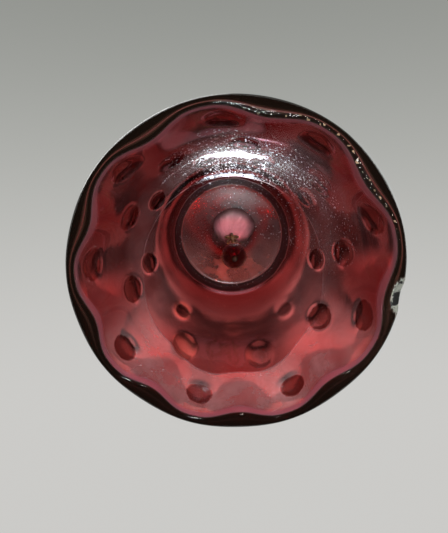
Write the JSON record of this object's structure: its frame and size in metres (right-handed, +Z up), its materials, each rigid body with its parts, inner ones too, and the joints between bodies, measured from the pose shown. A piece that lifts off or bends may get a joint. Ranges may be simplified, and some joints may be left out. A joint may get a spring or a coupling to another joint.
{
  "type": "glass bell",
  "caption": "Blown cranberry glass hand bell with a lobed thumbprint lip, a clear glass handle, and a cranberry bead clapper on a brass chain.",
  "frame": {"origin": "centre of the plane that the lip rests on, on the bell's axis", "axes": "+Z up along the bell's axis, from the mouth to the finial; +X is about 8 degrees clockwise, seen from above, of the chip in the lip"},
  "size_m": [0.1, 0.1, 0.1521],
  "materials": {
    "cranberry_glass": "blown glass, fire polished, cranberry",
    "clear_glass": "solid clear glass, fire polished",
    "bead_glass": "cranberry glass bead, polished",
    "aged_brass": "drawn brass wire, dulled with age",
    "cement": "pale set cement, matt"
  },
  "bodies": {
    "bell": {"bell_shell": "cranberry_glass", "handle_merese": "clear_glass", "handle_stem": "clear_glass", "handle_finial": "clear_glass", "eye_cement": "cement", "crown_eye": "aged_brass"},
    "link_1": {"chain_link_1": "aged_brass"},
    "link_2": {"chain_link_2": "aged_brass"},
    "link_3": {"chain_link_3": "aged_brass"},
    "link_4": {"chain_link_4": "aged_brass"},
    "clapper": {"clapper_pin": "aged_brass", "clapper_cap": "aged_brass", "clapper_bead": "bead_glass"}
  },
  "joints": [
    {"name": "eye_swing", "type": "hinge", "parent": "bell", "child": "link_1", "pos_m": [0, 0, 0.0717], "axis": [1, 0, 0], "range_deg": [-28, 28]},
    {"name": "link_1_rock", "type": "hinge", "parent": "link_1", "child": "link_2", "pos_m": [0, 0, 0.0639], "axis": [0, 1, 0], "range_deg": [-22, 22]},
    {"name": "link_2_swing", "type": "hinge", "parent": "link_2", "child": "link_3", "pos_m": [0, 0, 0.0561], "axis": [1, 0, 0], "range_deg": [-14, 14]},
    {"name": "link_3_rock", "type": "hinge", "parent": "link_3", "child": "link_4", "pos_m": [0, 0, 0.0483], "axis": [0, 1, 0], "range_deg": [-12, 12]},
    {"name": "clapper_swing", "type": "hinge", "parent": "link_4", "child": "clapper", "pos_m": [0, 0, 0.0405], "axis": [1, 0, 0], "range_deg": [-8, 8]}
  ]
}
